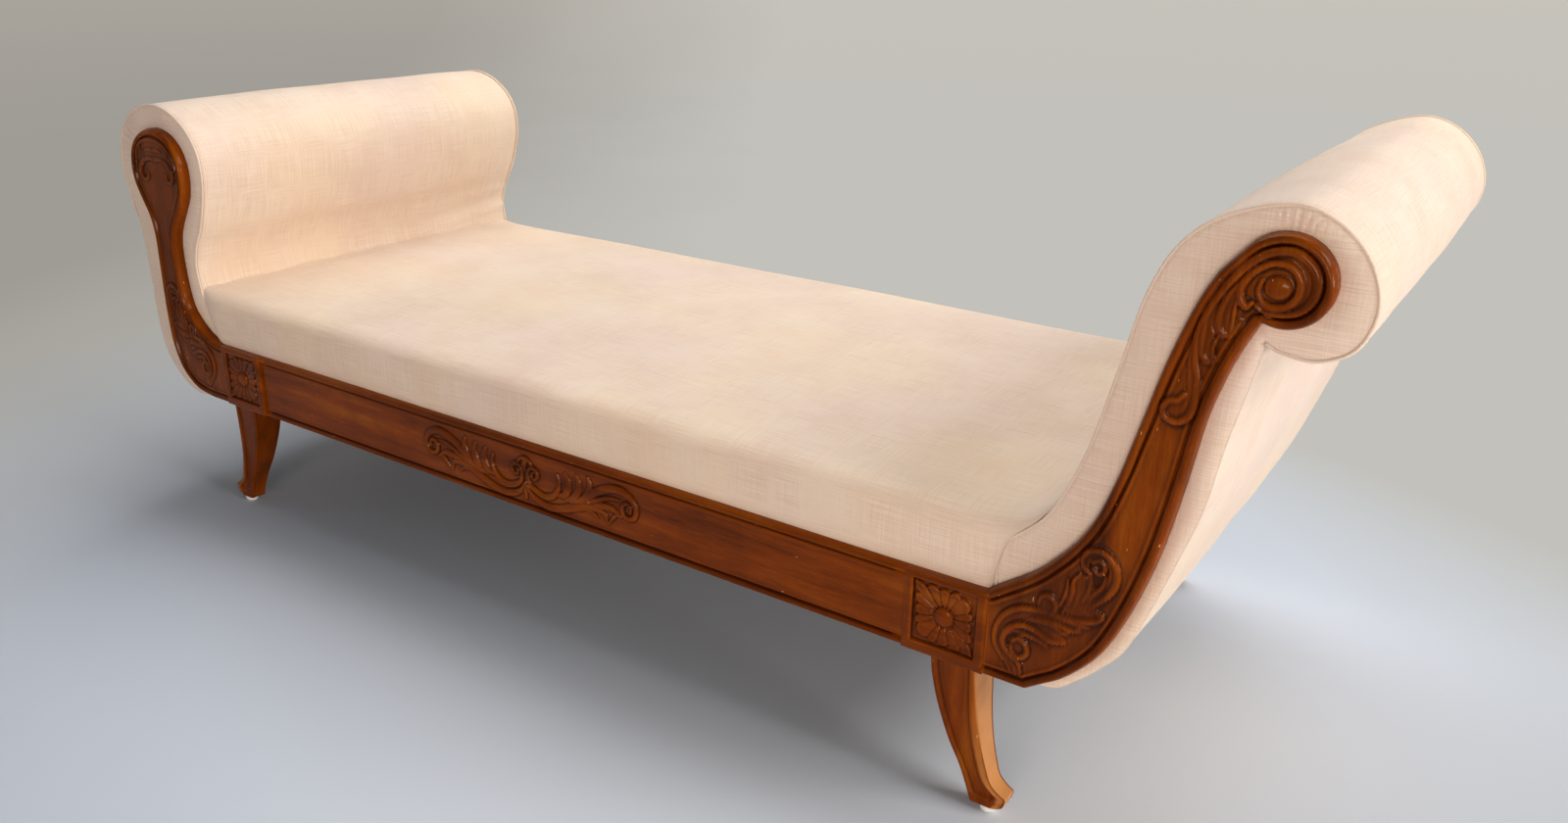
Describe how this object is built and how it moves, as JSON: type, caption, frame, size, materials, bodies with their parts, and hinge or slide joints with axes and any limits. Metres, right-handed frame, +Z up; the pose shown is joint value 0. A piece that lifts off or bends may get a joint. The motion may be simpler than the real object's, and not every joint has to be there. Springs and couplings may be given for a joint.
{
  "type": "fainting couch",
  "caption": "Upholstered daybed with a carved wooden frame, splayed sabre legs, a high scrolled end and a low bolster-shaped end.",
  "frame": {"origin": "on the floor, under the middle of the couch's outer box", "axes": "+X along the couch towards its higher scroll end, +Y from its front to its back, +Z up"},
  "size_m": [2.2354, 0.828, 0.8517],
  "materials": {
    "show_wood": "stained and varnished, semi-gloss",
    "frame_wood": "sawn, bare",
    "cover_fabric": "plain slub weave, matt",
    "padding": "foam and felted wadding",
    "webbing_cloth": "jute",
    "dust_cloth": "black cambric",
    "glide_plastic": "moulded",
    "fixing_steel": "plated"
  },
  "bodies": {
    "root": {"front_rail": "show_wood", "back_rail": "show_wood", "corner_block_front_left": "show_wood", "corner_block_front_right": "show_wood", "corner_block_back_left": "show_wood", "corner_block_back_right": "show_wood", "arm_facing_front_left": "show_wood", "arm_facing_front_right": "show_wood", "arm_facing_back_left": "show_wood", "arm_facing_back_right": "show_wood", "leg_front_left": "show_wood", "leg_front_right": "show_wood", "leg_back_left": "show_wood", "leg_back_right": "show_wood", "floor_glides": "glide_plastic", "glide_nails": "fixing_steel", "leg_dowels": "frame_wood", "rail_dowels": "frame_wood", "end_rail_left": "frame_wood", "end_rail_right": "frame_wood", "end_rail_dowels": "frame_wood", "seat_brace_left": "frame_wood", "seat_brace_middle": "frame_wood", "seat_brace_right": "frame_wood", "glue_block_front_left": "frame_wood", "glue_block_front_right": "frame_wood", "glue_block_back_left": "frame_wood", "glue_block_back_right": "frame_wood", "glue_block_screws": "fixing_steel", "scroll_board_front_left": "frame_wood", "scroll_board_front_right": "frame_wood", "scroll_board_back_left": "frame_wood", "scroll_board_back_right": "frame_wood", "base_rail_left": "frame_wood", "base_rail_right": "frame_wood", "base_rail_screws": "fixing_steel", "scroll_slats_left": "frame_wood", "scroll_slats_right": "frame_wood", "facing_screws": "fixing_steel", "end_padding_left": "padding", "end_padding_right": "padding", "inside_cover_left": "cover_fabric", "inside_cover_right": "cover_fabric", "outside_cover_left": "cover_fabric", "outside_cover_right": "cover_fabric", "face_panel_front_left": "cover_fabric", "face_panel_front_right": "cover_fabric", "face_panel_back_left": "cover_fabric", "face_panel_back_right": "cover_fabric", "welt_front_left": "cover_fabric", "welt_front_right": "cover_fabric", "welt_back_left": "cover_fabric", "welt_back_right": "cover_fabric", "webbing_across": "webbing_cloth", "webbing_along": "webbing_cloth", "seat_hessian": "webbing_cloth", "seat_foam": "padding", "seat_cover": "cover_fabric", "dust_cover": "dust_cloth", "dust_cover_tacks": "fixing_steel"}
  },
  "joints": []
}
